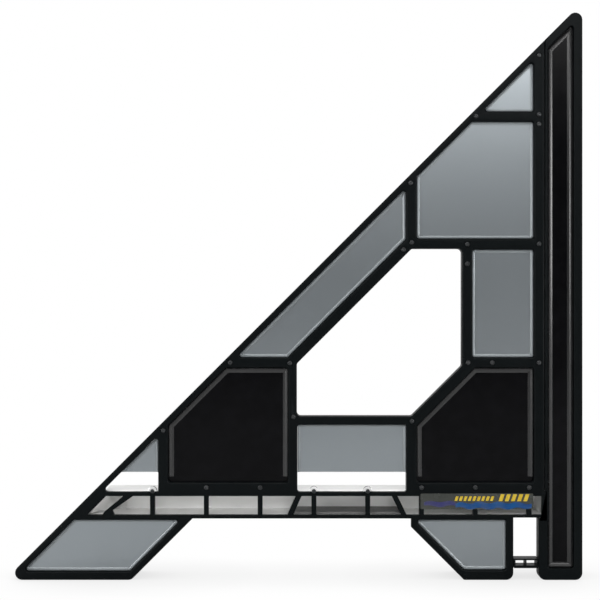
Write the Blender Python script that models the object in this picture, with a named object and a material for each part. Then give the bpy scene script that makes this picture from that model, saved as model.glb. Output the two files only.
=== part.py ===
"""Speed square: a 45 degree saw-guide square with a ribbed two-piece frame, infill panes and a deep fence.

The square stands upright on its two legs and its guide rail. +X runs along the fence towards the rail,
+Z runs up the rail, and the ribbed front face looks towards -Y. The origin is under the middle, on the floor.
"""

import math

import bmesh
import bpy
from mathutils import Matrix, Vector

MM = 0.001
SEAM = 0.3 * MM
ROOT2 = math.sqrt(2.0)

# Outline. The sloping edge follows z = x + HYP_RISE.
HALF_WIDTH = 158.2 * MM
TIP_RADIUS = 4.0 * MM
HYP_RISE = HALF_WIDTH + ROOT2 * TIP_RADIUS
HYP_RIB = 3.45 * MM
HYP_INNER = HYP_RISE - ROOT2 * HYP_RIB
CORNER_RADIUS = 1.4 * MM
HAND_RADIUS = 2.2 * MM
ARC_STEPS = 3

# Depth, front to back.
FRONT = -12.0 * MM
BACK = 12.0 * MM
RIB_FRONT = -11.2 * MM
LATTICE_SPLIT = -8.2 * MM
PANE_FRONT = LATTICE_SPLIT + SEAM
PANE_THICKNESS = 2.0 * MM
PANE_LEDGE = PANE_FRONT + PANE_THICKNESS + SEAM
PLATE_BACK = -4.0 * MM
PANE_LAP = 1.5 * MM

# Lattice lines. X of the upright ribs' edges, Z of the level ribs' edges.
RAIL_RIB_LEFT = 131.1 * MM
RAIL_RIB_RIGHT = 137.1 * MM
SIDE_RIB = (91.1 * MM, 96.9 * MM)
UPPER_RIB = (59.8 * MM, 66.0 * MM)
HAND_LEFT = -1.0 * MM
LEFT_PANEL = (-72.7 * MM, -5.9 * MM)
LEFT_CORNER_RIGHT = -78.3 * MM
MIDDLE_PANE = (-0.7 * MM, 60.1 * MM)
APEX_BOTTOM = 261.3 * MM
UPPER_PANE = (190.4 * MM, 255.6 * MM)
SIDE_PANE = (124.1 * MM, 184.3 * MM)
HAND_LEVELS = (91.4 * MM, 184.7 * MM)
PANEL_TOP = 118.3 * MM
PANEL_BOTTOM = 54.5 * MM
MIDDLE_TOP = 86.6 * MM
SLOT_TOP = 59.6 * MM
HAND_UPPER_RISE = 121.6 * MM
HAND_LOWER_RISE = 28.3 * MM
DIAGONAL_RISE = 130.2 * MM
RIGHT_PANEL_RISE = 20.1 * MM

# Fence. A tray of sheet aluminium behind a ladder of lips and cross ribs, which is part of the front lattice.
FENCE_BOTTOM = 34.2 * MM
POCKET_BOTTOM = 36.3 * MM
POCKET_TOP = 46.8 * MM
FENCE_TOP = 49.4 * MM
REGISTER_TOP = 49.6 * MM
FENCE_FLOOR = 2.0 * MM
FENCE_PITCH = 30.0 * MM
FENCE_FIRST = -81.5 * MM
FENCE_RIBS = 8
FENCE_RIB = 1.9 * MM
FENCE_RIGHT = 138.3 * MM
TROUGH_RIGHT = 135.9 * MM
TROUGH_RISE = 154.8 * MM
FENCE_END_RISE = 157.8 * MM
SLANT_LEFT = (0.0 * MM, -4.7 * MM)
SLANT_RIGHT = (53.5 * MM, 58.6 * MM)
SLANT_RIB = 2.4 * MM
END_RIB_TOP = (-97.2 * MM, -93.0 * MM)
END_RIB_BEND = ((-108.0 * MM, 37.8 * MM), (-104.4 * MM, 38.9 * MM))
WEDGE_RUN = 14.0 * MM
WEDGE_LIP = 1.2 * MM
LUG_LEVEL = FENCE_TOP + SEAM
LUG_RADIUS = 2.4 * MM
LUG_STEPS = 6

# Legs, foot and rail.
LEG_TOP = FENCE_BOTTOM - SEAM
GAP_TOP = 34.7 * MM
LEG_PANE_TOP = 33.5 * MM
LEG_WALL = 2.4 * MM
LEFT_LEG_RISE = 93.4 * MM
LEFT_LEG_INNER = 99.1 * MM
LEFT_LEG_FLOOR = 4.9 * MM
RIGHT_LEG_LEFT = 62.7 * MM
RIGHT_LEG_SUM = 92.2 * MM
RIGHT_LEG_RIGHT = 119.75 * MM
RIGHT_LEG_INNER = (66.6 * MM, 115.7 * MM)
RIGHT_LEG_INNER_SUM = 97.9 * MM
RIGHT_LEG_FLOOR = 5.6 * MM
FOOT_RADIUS = 4.0 * MM
FOOT_LEFT = 133.7 * MM
FOOT_DEEP_LEFT = 138.6 * MM
CHANNEL = (138.8 * MM, 153.2 * MM)
CHANNEL_BOTTOM = 6.6 * MM
CHANNEL_RISE = 157.6 * MM
CHANNEL_FLOOR = -7.3 * MM
STRIP_THICKNESS = 0.9 * MM
LINK_LEVELS = (6.7 * MM, 12.0 * MM)
LINK_WINDOW = (8.5 * MM, 10.8 * MM)
LINK_RIB = 1.1 * MM

# Label.
LABEL = (67.8 * MM, 130.6 * MM)
LABEL_LEVELS = (39.7 * MM, 48.4 * MM)

# Rivets.
RIVET_FRONT = -11.6 * MM
RIVET_RADIUS = 1.1 * MM
RIVET_SIDES = 10
RIVET_TIP = -6.2 * MM
SHORT_RIVET_TIP = LATTICE_SPLIT
FENCE_RIVET_LEVEL = 51.6 * MM
LUG_NUMBERS = (0, 3, 4)
LATTICE_RIVETS = (
    (133.95, 292.5),
    (133.95, 259.6),
    (133.95, 254.2),
    (133.95, 187.4),
    (133.95, 121.2),
    (98.9, 258.6),
    (62.4, 221.4),
    (63.0, 188.2),
    (58.4, 184.2),
    (94.0, 187.2),
    (94.0, 176.3),
    (94.4, 121.2),
    (107.9, 121.2),
    (-38.2, 121.2),
    (-4.9, 121.0),
    (-75.5, 83.4),
    (-2.9, 91.0),
    (63.1, 88.6),
)

BLACK = (0.012, 0.013, 0.013, 1.0)
GLOSS_BLACK = (0.006, 0.006, 0.007, 1.0)
PANE_GREY = (0.235, 0.25, 0.26, 1.0)
ALUMINIUM = (0.62, 0.61, 0.6, 1.0)
DARK_GREY = (0.07, 0.07, 0.07, 1.0)
RIVET_GREY = (0.3, 0.3, 0.3, 1.0)
LABEL_GREY = (0.33, 0.32, 0.3, 1.0)


def clear_scene():
    """Remove every object that is already in the file."""
    for existing in list(bpy.data.objects):
        bpy.data.objects.remove(existing, do_unlink=True)


def new_collection(name):
    collection = bpy.data.collections.new(name)
    bpy.context.scene.collection.children.link(collection)
    return collection


def make_material(name, colour, roughness, metallic=0.0):
    material = bpy.data.materials.new(name)
    material.use_nodes = True
    shader = material.node_tree.nodes["Principled BSDF"]
    shader.inputs["Base Color"].default_value = colour
    shader.inputs["Roughness"].default_value = roughness
    shader.inputs["Metallic"].default_value = metallic
    return material


def rounded(corners, radii, steps=ARC_STEPS):
    """The outline of a polygon of (x, z) corners, each turned into an arc that its edges have room for."""
    count = len(corners)
    if not isinstance(radii, (list, tuple)):
        radii = [radii] * count
    points = []
    for index, corner in enumerate(corners):
        here = Vector(corner)
        back = Vector(corners[index - 1]) - here
        ahead = Vector(corners[(index + 1) % count]) - here
        if radii[index] <= 0.0:
            points.append(here)
            continue
        half = back.angle(ahead) / 2.0
        room = 0.45 * min(back.length, ahead.length)
        radius = min(radii[index], room * math.tan(half))
        before, after = back.normalized(), ahead.normalized()
        middle = here + (before + after).normalized() * (radius / math.sin(half))
        start = here + before * (radius / math.tan(half)) - middle
        finish = here + after * (radius / math.tan(half)) - middle
        sweep = start.angle_signed(finish)
        for step in range(steps + 1):
            turn = Matrix.Rotation(-sweep * step / steps, 2)
            points.append(middle + turn @ start)
    return points


def grown(corners, distance):
    """The (x, z) corners of a counterclockwise polygon, moved out by a distance from every edge."""
    count = len(corners)
    moved = []
    for index, corner in enumerate(corners):
        here = Vector(corner)
        into = (here - Vector(corners[index - 1])).normalized()
        away = (Vector(corners[(index + 1) % count]) - here).normalized()
        side_in = Vector((into.y, -into.x))
        side_out = Vector((away.y, -away.x))
        reach = distance / (1.0 + side_in.dot(side_out))
        moved.append(tuple(here + (side_in + side_out) * reach))
    return moved


def extruded(name, loops, front, back, collection, plain_caps=True):
    """A mesh object from flat (x, z) loops, the first outside and the others holes, between two depths."""
    curve = bpy.data.curves.new(name, "CURVE")
    curve.dimensions = "2D"
    curve.fill_mode = "BOTH"
    curve.extrude = (back - front) / 2.0
    for loop in loops:
        spline = curve.splines.new("POLY")
        spline.points.add(len(loop) - 1)
        for point, place in zip(spline.points, loop):
            point.co = (place[0], place[1], 0.0, 1.0)
        spline.use_cyclic_u = True
    drawn = bpy.data.objects.new(name + "_outline", curve)
    bpy.context.scene.collection.objects.link(drawn)
    upright = Matrix.Rotation(math.pi / 2.0, 4, "X")
    drawn.matrix_world = Matrix.Translation((0.0, (front + back) / 2.0, 0.0)) @ upright
    bpy.context.view_layer.update()
    graph = bpy.context.evaluated_depsgraph_get()
    mesh = bpy.data.meshes.new_from_object(drawn.evaluated_get(graph))
    mesh.name = name
    mesh.transform(drawn.matrix_world)
    bpy.data.objects.remove(drawn, do_unlink=True)
    weld(mesh, plain_caps)
    solid = bpy.data.objects.new(name, mesh)
    collection.objects.link(solid)
    return solid


def weld(mesh, plain_caps):
    """Join the loose caps of a curve's mesh to its sides, with every face pointing out."""
    body = bmesh.new()
    body.from_mesh(mesh)
    bmesh.ops.remove_doubles(body, verts=body.verts, dist=0.01 * MM)
    bmesh.ops.recalc_face_normals(body, faces=body.faces)
    if plain_caps:
        bmesh.ops.dissolve_limit(body, angle_limit=math.radians(0.5), verts=body.verts, edges=body.edges)
    body.to_mesh(mesh)
    body.free()


def box(name, low, high, collection):
    """A block between two opposite corners."""
    body = bmesh.new()
    bmesh.ops.create_cube(body, size=1.0)
    size = [top - bottom for bottom, top in zip(low, high)]
    middle = [(top + bottom) / 2.0 for bottom, top in zip(low, high)]
    bmesh.ops.scale(body, vec=size, verts=body.verts)
    bmesh.ops.translate(body, vec=middle, verts=body.verts)
    mesh = bpy.data.meshes.new(name)
    body.to_mesh(mesh)
    body.free()
    solid = bpy.data.objects.new(name, mesh)
    collection.objects.link(solid)
    return solid


def round_bar(name, x, z, front, back, radius, collection):
    """A round bar along Y."""
    body = bmesh.new()
    bmesh.ops.create_cone(
        body, cap_ends=True, segments=RIVET_SIDES, radius1=radius, radius2=radius, depth=back - front
    )
    bmesh.ops.rotate(body, matrix=Matrix.Rotation(math.pi / 2.0, 3, "X"), verts=body.verts)
    mesh = bpy.data.meshes.new(name)
    body.to_mesh(mesh)
    body.free()
    mesh.shade_smooth()
    mesh.set_sharp_from_angle(angle=math.radians(40.0))
    bar = bpy.data.objects.new(name, mesh)
    bar.location = (x, (front + back) / 2.0, z)
    collection.objects.link(bar)
    return bar


def cut(target, cutter):
    """Subtract a helper solid, which is kept hidden."""
    cutter.hide_render = True
    cutter.display_type = "WIRE"
    modifier = target.modifiers.new("cut_" + cutter.name, "BOOLEAN")
    modifier.operation = "DIFFERENCE"
    modifier.solver = "EXACT"
    modifier.object = cutter


def dress(solid, material):
    solid.data.materials.append(material)
    return solid


def rectangle(places, levels):
    """The corners of a rectangle between two places along X and two levels."""
    return ((places[0], levels[0]), (places[1], levels[0]), (places[1], levels[1]), (places[0], levels[1]))


def on_slope(level, rise):
    """The point of the line z = x + rise at a level."""
    return (level - rise, level)


def pane_windows():
    """The corners of each window that holds an infill pane, counterclockwise, by pane name."""
    left_slope = HYP_INNER
    return {
        "pane_apex": (
            on_slope(APEX_BOTTOM, left_slope),
            (RAIL_RIB_LEFT, APEX_BOTTOM),
            (RAIL_RIB_LEFT, RAIL_RIB_LEFT + left_slope),
        ),
        "pane_upper": (
            (UPPER_RIB[1], UPPER_PANE[0]),
            (RAIL_RIB_LEFT, UPPER_PANE[0]),
            (RAIL_RIB_LEFT, UPPER_PANE[1]),
            on_slope(UPPER_PANE[1], left_slope),
            (UPPER_RIB[1], UPPER_RIB[1] + left_slope),
        ),
        "pane_side": (
            (SIDE_RIB[1], SIDE_PANE[0]),
            (RAIL_RIB_LEFT, SIDE_PANE[0]),
            (RAIL_RIB_LEFT, SIDE_PANE[1]),
            (SIDE_RIB[1], SIDE_PANE[1]),
        ),
        "pane_diagonal": (
            on_slope(SIDE_PANE[0], left_slope),
            on_slope(SIDE_PANE[0], DIAGONAL_RISE),
            (UPPER_RIB[0], UPPER_RIB[0] + DIAGONAL_RISE),
            (UPPER_RIB[0], UPPER_RIB[0] + left_slope),
        ),
        "grip_panel_left": (
            (LEFT_PANEL[0], PANEL_BOTTOM),
            (LEFT_PANEL[1], PANEL_BOTTOM),
            (LEFT_PANEL[1], PANEL_TOP),
            on_slope(PANEL_TOP, left_slope),
            (LEFT_PANEL[0], LEFT_PANEL[0] + left_slope),
        ),
        "grip_panel_right": (
            (UPPER_RIB[1], PANEL_BOTTOM),
            (RAIL_RIB_LEFT, PANEL_BOTTOM),
            (RAIL_RIB_LEFT, PANEL_TOP),
            on_slope(PANEL_TOP, RIGHT_PANEL_RISE),
            (UPPER_RIB[1], UPPER_RIB[1] + RIGHT_PANEL_RISE),
        ),
    }


def slotted_windows():
    """The two windows whose pane leaves a sight slot above the fence, as (window, pane) corners."""
    ledge = FENCE_TOP + SEAM
    left_window = (
        on_slope(ledge, HYP_INNER),
        (LEFT_CORNER_RIGHT, ledge),
        (LEFT_CORNER_RIGHT, LEFT_CORNER_RIGHT + HYP_INNER),
    )
    left_pane = (
        on_slope(SLOT_TOP, HYP_INNER),
        (LEFT_CORNER_RIGHT, SLOT_TOP),
        (LEFT_CORNER_RIGHT, LEFT_CORNER_RIGHT + HYP_INNER),
    )
    middle_window = (
        (MIDDLE_PANE[0], ledge),
        (MIDDLE_PANE[1], ledge),
        (MIDDLE_PANE[1], MIDDLE_TOP),
        (MIDDLE_PANE[0], MIDDLE_TOP),
    )
    middle_pane = (
        (MIDDLE_PANE[0], SLOT_TOP),
        (MIDDLE_PANE[1], SLOT_TOP),
        (MIDDLE_PANE[1], MIDDLE_TOP),
        (MIDDLE_PANE[0], MIDDLE_TOP),
    )
    return {
        "pane_left_corner": (left_window, left_pane),
        "pane_middle": (middle_window, middle_pane),
    }


def slotted_pane_outline(pane, lap):
    """A slotted pane grown under the lattice on every side but its free lower edge."""
    wide = grown(pane, lap)
    return [(x, max(z, SLOT_TOP + SEAM - (lap - PANE_LAP))) for x, z in clipped(wide, SLOT_TOP)]


def clipped(corners, level):
    """The corners of a polygon whose lowest edge is level, with that edge moved to a level."""
    count = len(corners)
    lowest = min(z for _, z in corners)
    result = []
    for index, (x, z) in enumerate(corners):
        if z > lowest + 1e-9:
            result.append((x, z))
            continue
        neighbours = (corners[index - 1], corners[(index + 1) % count])
        upper = max(neighbours, key=lambda place: place[1])
        share = (level - z) / (upper[1] - z)
        result.append((x + (upper[0] - x) * share, level))
    return result


def lowered(corners, level):
    """The corners of a polygon, without the part above a level."""
    kept = []
    count = len(corners)
    for index, (x, z) in enumerate(corners):
        next_x, next_z = corners[(index + 1) % count]
        if z <= level:
            kept.append((x, z))
        if (z - level) * (next_z - level) < 0.0:
            share = (level - z) / (next_z - z)
            kept.append((x + (next_x - x) * share, level))
    return kept


def leg_windows():
    """The corners of the two leg windows."""
    left = (
        on_slope(LEFT_LEG_FLOOR, HYP_INNER),
        on_slope(LEFT_LEG_FLOOR, LEFT_LEG_INNER),
        on_slope(LEG_PANE_TOP, LEFT_LEG_INNER),
        on_slope(LEG_PANE_TOP, HYP_INNER),
    )
    right = (
        (RIGHT_LEG_INNER_SUM - RIGHT_LEG_FLOOR, RIGHT_LEG_FLOOR),
        (RIGHT_LEG_INNER[1], RIGHT_LEG_FLOOR),
        (RIGHT_LEG_INNER[1], LEG_PANE_TOP),
        (RIGHT_LEG_INNER[0], LEG_PANE_TOP),
        (RIGHT_LEG_INNER[0], RIGHT_LEG_INNER_SUM - RIGHT_LEG_INNER[0]),
    )
    return {"pane_left_leg": left, "pane_right_leg": right}


def hand_hole():
    return (
        (HAND_LEFT, HAND_LEVELS[0]),
        on_slope(HAND_LEVELS[0], HAND_LOWER_RISE),
        (SIDE_RIB[0], SIDE_RIB[0] + HAND_LOWER_RISE),
        (SIDE_RIB[0], HAND_LEVELS[1]),
        on_slope(HAND_LEVELS[1], HAND_UPPER_RISE),
        (HAND_LEFT, HAND_LEFT + HAND_UPPER_RISE),
    )


def fence_rib_places():
    return [FENCE_FIRST + number * FENCE_PITCH for number in range(FENCE_RIBS)]


def slant_at(slant, level):
    """X of a slanted cross rib's middle at a level, from its (top, bottom) places."""
    share = (POCKET_TOP - level) / (POCKET_TOP - POCKET_BOTTOM)
    return slant[0] + (slant[1] - slant[0]) * share


def pocket_loops():
    """The pockets between the fence's cross ribs, from the sloping left end to the rail."""
    half = FENCE_RIB / 2.0
    wide = SLANT_RIB / 2.0
    top, low = POCKET_TOP, POCKET_BOTTOM
    ribs = fence_rib_places()
    bend_low, bend_top = END_RIB_BEND
    end_left = (on_slope(low, TROUGH_RISE), (bend_low[0] - MM, low), bend_low, (END_RIB_TOP[0], top))
    first = ribs[0] - half
    end_right = ((bend_top[0] + wide, low), (first, low), (first, top), (END_RIB_TOP[1], top), bend_top)
    loops = [end_left + (on_slope(top, TROUGH_RISE),), end_right]
    for left, right in zip(ribs, ribs[1:]):
        slant = next((s for s in (SLANT_LEFT, SLANT_RIGHT) if left < s[0] < right), None)
        if slant is None:
            loops.append(rectangle((left + half, right - half), (low, top)))
            continue
        at_top, at_low = slant_at(slant, top), slant_at(slant, low)
        loops.append(((left + half, low), (at_low - wide, low), (at_top - wide, top), (left + half, top)))
        loops.append(((at_low + wide, low), (right - half, low), (right - half, top), (at_top + wide, top)))
    last = ribs[-1] + half
    loops.append(rectangle((last, TROUGH_RIGHT), (low, top)))
    return loops


def lattice_outline():
    """The front lattice from its left tip, along the legs and the fence, up the rail and down the slope."""
    corners = [
        (-HYP_RISE, 0.0),
        (-LEFT_LEG_RISE, 0.0),
        on_slope(FENCE_BOTTOM, LEFT_LEG_RISE),
        (RIGHT_LEG_LEFT, FENCE_BOTTOM),
        (RIGHT_LEG_LEFT, RIGHT_LEG_SUM - RIGHT_LEG_LEFT),
        (RIGHT_LEG_SUM, 0.0),
        (RIGHT_LEG_RIGHT, 0.0),
        (RIGHT_LEG_RIGHT, GAP_TOP),
        (FENCE_RIGHT, GAP_TOP),
        (FENCE_RIGHT, FENCE_TOP),
        (RAIL_RIB_RIGHT, FENCE_TOP),
        (RAIL_RIB_RIGHT, RAIL_RIB_RIGHT + HYP_RISE),
    ]
    radii = [TIP_RADIUS, FOOT_RADIUS, 0, 0, 0, CORNER_RADIUS, FOOT_RADIUS, 0, 0, 0, 0, 0]
    return rounded(corners, radii)


def plate_outline():
    """The back lattice covers the plate above the fence."""
    ledge = FENCE_TOP + SEAM
    return (
        on_slope(ledge, HYP_RISE),
        (RAIL_RIB_RIGHT, ledge),
        (RAIL_RIB_RIGHT, RAIL_RIB_RIGHT + HYP_RISE),
    )


def rivet_places():
    """(name, x, z, tip) of every rivet."""
    places = []
    for number, (x, z) in enumerate(LATTICE_RIVETS, start=1):
        places.append((f"lattice_rivet_{number:02d}", x * MM, z * MM, RIVET_TIP))
    for number, x in enumerate(fence_rib_places()):
        in_lug = number in LUG_NUMBERS
        z = LUG_LEVEL if in_lug else FENCE_RIVET_LEVEL
        tip = SHORT_RIVET_TIP if in_lug else RIVET_TIP
        places.append((f"fence_rivet_{number + 1}", x, z, tip))
    return places


def arc(x, z, radius, start, finish, steps):
    """Points of an arc in the (x, z) plane, between two angles."""
    turns = [start + (finish - start) * step / steps for step in range(steps + 1)]
    return [(x + radius * math.cos(turn), z + radius * math.sin(turn)) for turn in turns]


def slot_loop(window):
    """A slotted window's outline, with the round lugs that stand up from the fence's lip into the slot."""
    left, right = window[0], window[1]
    lugs = []
    for number in LUG_NUMBERS:
        x = fence_rib_places()[number]
        if left[0] < x < right[0]:
            lugs += arc(x, LUG_LEVEL, LUG_RADIUS, math.pi, 0.0, LUG_STEPS)
    corners = [left] + lugs + list(window[1:])
    radii = [CORNER_RADIUS] + [0.0] * len(lugs) + [CORNER_RADIUS] * (len(window) - 1)
    return rounded(corners, radii)


def rivet_hole_loop(x, z):
    """The outline of a rivet's clear hole, with a flat under each side of the rivet."""
    step = 2.0 * math.pi / RIVET_SIDES
    radius = RIVET_RADIUS + SEAM
    return arc(x, z, radius, 0.0, 2.0 * math.pi - step, RIVET_SIDES - 1)


def build_lattice_front(parts, black):
    """Front half of the frame: ribs, fence ladder and leg rims in one flat moulding."""
    holes = [rounded(window, CORNER_RADIUS) for window in pane_windows().values()]
    holes += [slot_loop(window) for window, _ in slotted_windows().values()]
    holes += [rounded(window, CORNER_RADIUS) for window in leg_windows().values()]
    holes.append(rounded(hand_hole(), HAND_RADIUS))
    holes += pocket_loops()
    holes += [rivet_hole_loop(x, z) for _, x, z, _ in rivet_places()]
    loops = [lattice_outline()] + holes
    front = extruded("lattice_front", loops, RIB_FRONT, LATTICE_SPLIT, parts, plain_caps=False)
    return dress(front, black)


def build_lattice_back(parts, cutters, black):
    """Back half of the frame: the same ribs, with a rabbet round each window that holds the pane's edge."""
    holes = [rounded(window, CORNER_RADIUS) for window in pane_windows().values()]
    holes.append(rounded(hand_hole(), HAND_RADIUS))
    back = extruded("lattice_back", [plate_outline()] + holes, PANE_FRONT, PLATE_BACK, parts)
    for name, (window, _) in slotted_windows().items():
        loop = clipped(window, FENCE_TOP)
        cut(back, extruded(name + "_slot", [loop], PANE_FRONT - MM, PLATE_BACK + MM, cutters))
    lap = PANE_LAP + SEAM
    for name, window in pane_windows().items():
        loop = rounded(grown(window, lap), CORNER_RADIUS)
        cut(back, extruded(name + "_rabbet", [loop], PANE_FRONT - MM, PANE_LEDGE, cutters))
    for name, (_, pane) in slotted_windows().items():
        loop = rounded(slotted_pane_outline(pane, lap), 0.5 * MM)
        cut(back, extruded(name + "_rabbet", [loop], PANE_FRONT - MM, PANE_LEDGE, cutters))
    return dress(back, black)


def build_panes(parts, grey, gloss):
    """Flat infill panes, each lapped by the lattice round its edge."""
    back = PANE_FRONT + PANE_THICKNESS
    for name, window in pane_windows().items():
        loop = rounded(grown(window, PANE_LAP), CORNER_RADIUS)
        dress(extruded(name, [loop], PANE_FRONT, back, parts), gloss if name.startswith("grip") else grey)
    for name, (_, pane) in slotted_windows().items():
        loop = rounded(slotted_pane_outline(pane, PANE_LAP), 0.5 * MM)
        dress(extruded(name, [loop], PANE_FRONT, back, parts), grey)
    for name, window in leg_windows().items():
        dress(extruded(name, [leg_pane_loop(window, PANE_LAP)], PANE_FRONT, back, parts), grey)


def leg_pane_loop(window, lap):
    """A leg pane laps its base on three sides and stops at the fence."""
    top = LEG_TOP - (0.0 if lap > PANE_LAP else SEAM)
    return [(x, min(z, top)) for x, z in rounded(grown(window, lap), CORNER_RADIUS)]


def build_leg_bases(parts, cutters, black):
    """Deep open frames behind the leg rims, which the square stands on."""
    left_outer = (
        (-HYP_RISE, 0.0),
        (-LEFT_LEG_RISE, 0.0),
        on_slope(LEG_TOP, LEFT_LEG_RISE),
        on_slope(LEG_TOP, HYP_RISE),
    )
    deep_left = RIGHT_LEG_LEFT + 2.6 * MM
    right_outer = (
        (RIGHT_LEG_SUM, 0.0),
        (RIGHT_LEG_RIGHT, 0.0),
        (RIGHT_LEG_RIGHT, LEG_TOP),
        (deep_left, LEG_TOP),
        (deep_left, RIGHT_LEG_SUM - deep_left),
    )
    outers = {
        "left_leg_base": rounded(left_outer, [TIP_RADIUS, FOOT_RADIUS, 0, 0]),
        "right_leg_base": rounded(right_outer, [CORNER_RADIUS, FOOT_RADIUS, 0, 0, 0]),
    }
    for (name, outer), window in zip(outers.items(), leg_windows().values()):
        hollow = rounded(lowered(window, LEG_TOP - LEG_WALL), CORNER_RADIUS)
        base = extruded(name, [outer, hollow], PANE_FRONT, BACK, parts)
        seat = leg_pane_loop(window, PANE_LAP + SEAM)
        seat = [(x, z + MM if z > LEG_TOP - 0.01 * MM else z) for x, z in seat]
        cut(base, extruded(name + "_rabbet", [seat], PANE_FRONT - MM, PANE_LEDGE, cutters))
        dress(base, black)


def build_guide_rail(parts, cutters, black, gloss):
    """The saw's guide edge: a flat bar beside the plate, with a front channel and a deep foot."""
    corners = (
        (FOOT_LEFT, 0.0),
        (HALF_WIDTH, 0.0),
        (HALF_WIDTH, HALF_WIDTH + HYP_RISE),
        (RAIL_RIB_RIGHT + SEAM, RAIL_RIB_RIGHT + SEAM + HYP_RISE),
        (RAIL_RIB_RIGHT + SEAM, FENCE_TOP + SEAM),
        (FENCE_RIGHT + SEAM, FENCE_TOP + SEAM),
        (FENCE_RIGHT + SEAM, LEG_TOP),
        (FOOT_LEFT, LEG_TOP),
    )
    outline = rounded(corners, [FOOT_RADIUS, FOOT_RADIUS, TIP_RADIUS, 0, 0, 0, 0, 0])
    rail = extruded("guide_rail", [outline], RIB_FRONT, BACK, parts)
    above_low = (FOOT_LEFT - MM, PLATE_BACK, LEG_TOP)
    above_high = (HALF_WIDTH + MM, BACK + MM, HALF_WIDTH + HYP_RISE)
    cut(rail, box("rail_relief", above_low, above_high, cutters))
    beside_low = (FOOT_LEFT - MM, PLATE_BACK, -MM)
    beside_high = (FOOT_DEEP_LEFT, BACK + MM, LEG_TOP + MM)
    cut(rail, box("foot_relief", beside_low, beside_high, cutters))
    channel = (
        (CHANNEL[0], CHANNEL_BOTTOM),
        (CHANNEL[1], CHANNEL_BOTTOM),
        (CHANNEL[1], CHANNEL[1] + CHANNEL_RISE),
        (CHANNEL[0], CHANNEL[0] + CHANNEL_RISE),
    )
    mouth = rounded(channel, CORNER_RADIUS)
    cut(rail, extruded("rail_groove", [mouth], RIB_FRONT - MM, CHANNEL_FLOOR, cutters))
    dress(rail, black)
    strip_back = CHANNEL_FLOOR - SEAM
    inset = rounded(grown(channel, -SEAM), CORNER_RADIUS)
    strip = extruded("rail_channel_strip", [inset], strip_back - STRIP_THICKNESS, strip_back, parts)
    dress(strip, gloss)


def build_fence(parts, cutters, aluminium, dark):
    """The fence tray, its dark liner and the sloping wedge that closes its left end."""
    tray_loop = (
        on_slope(FENCE_BOTTOM, FENCE_END_RISE),
        (FENCE_RIGHT, FENCE_BOTTOM),
        (FENCE_RIGHT, REGISTER_TOP),
        on_slope(REGISTER_TOP, FENCE_END_RISE),
    )
    trough_loop = (
        on_slope(POCKET_BOTTOM, TROUGH_RISE),
        (TROUGH_RIGHT, POCKET_BOTTOM),
        (TROUGH_RIGHT, POCKET_TOP),
        on_slope(POCKET_TOP, TROUGH_RISE),
    )
    tray = extruded("fence_channel", [tray_loop], PANE_FRONT, BACK, parts)
    floor = BACK - FENCE_FLOOR
    cut(tray, extruded("trough", [trough_loop], PANE_FRONT - MM, floor, cutters))
    seat_low = (-RAIL_RIB_RIGHT, PANE_FRONT - MM, FENCE_TOP)
    seat_high = (FENCE_RIGHT + MM, PLATE_BACK + SEAM, REGISTER_TOP + MM)
    cut(tray, box("plate_seat", seat_low, seat_high, cutters))
    dress(tray, aluminium)
    liner_low = (SLANT_LEFT[1], PANE_FRONT, POCKET_BOTTOM + SEAM)
    liner_high = (SLANT_RIGHT[1], floor - SEAM, POCKET_BOTTOM + SEAM + 0.9 * MM)
    dress(box("fence_mid_liner", liner_low, liner_high, parts), dark)
    dress(build_wedge(parts, floor - SEAM), aluminium)


def build_wedge(parts, back):
    """A block across the trough's left end whose face slopes from the front at the left to the floor."""
    low = POCKET_BOTTOM + SEAM
    top = POCKET_TOP - SEAM
    left = low - TROUGH_RISE + ROOT2 * SEAM
    wedge = box("fence_end_wedge", (left, PANE_FRONT, low), (left + WEDGE_RUN, back, top), parts)
    for vertex in wedge.data.vertices:
        place = vertex.co
        if place.x > left + WEDGE_LIP and place.y < (PANE_FRONT + back) / 2.0:
            place.x = left + WEDGE_LIP
        place.x += place.z - low
    return wedge


def build_label(parts, grey):
    """A thin label plate across the front of the fence ribs."""
    low = (LABEL[0], FRONT, LABEL_LEVELS[0])
    high = (LABEL[1], RIB_FRONT - SEAM, LABEL_LEVELS[1])
    dress(box("label_plate", low, high, parts), grey)


def build_foot_link(parts, black):
    """The small barred link between the right leg and the rail's foot."""
    left, right = RIGHT_LEG_RIGHT + SEAM, FOOT_LEFT - SEAM
    middle = (left + right) / 2.0
    outer = rectangle((left, right), LINK_LEVELS)
    left_window = rectangle((left + LINK_RIB, middle - LINK_RIB / 2.0), LINK_WINDOW)
    right_window = rectangle((middle + LINK_RIB / 2.0, right - LINK_RIB), LINK_WINDOW)
    loops = [outer, left_window, right_window]
    dress(extruded("foot_link", loops, RIB_FRONT, PLATE_BACK, parts), black)


def build_rivets(parts, cutters, material):
    """Rivets that clamp the two lattice halves, each in its own clear hole."""
    back = bpy.data.objects["lattice_back"]
    for name, x, z, tip in rivet_places():
        dress(round_bar(name, x, z, RIVET_FRONT, tip, RIVET_RADIUS, parts), material)
        if tip == RIVET_TIP:
            hole = round_bar(name + "_hole", x, z, FRONT, tip + SEAM, RIVET_RADIUS + SEAM, cutters)
            cut(back, hole)


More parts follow.
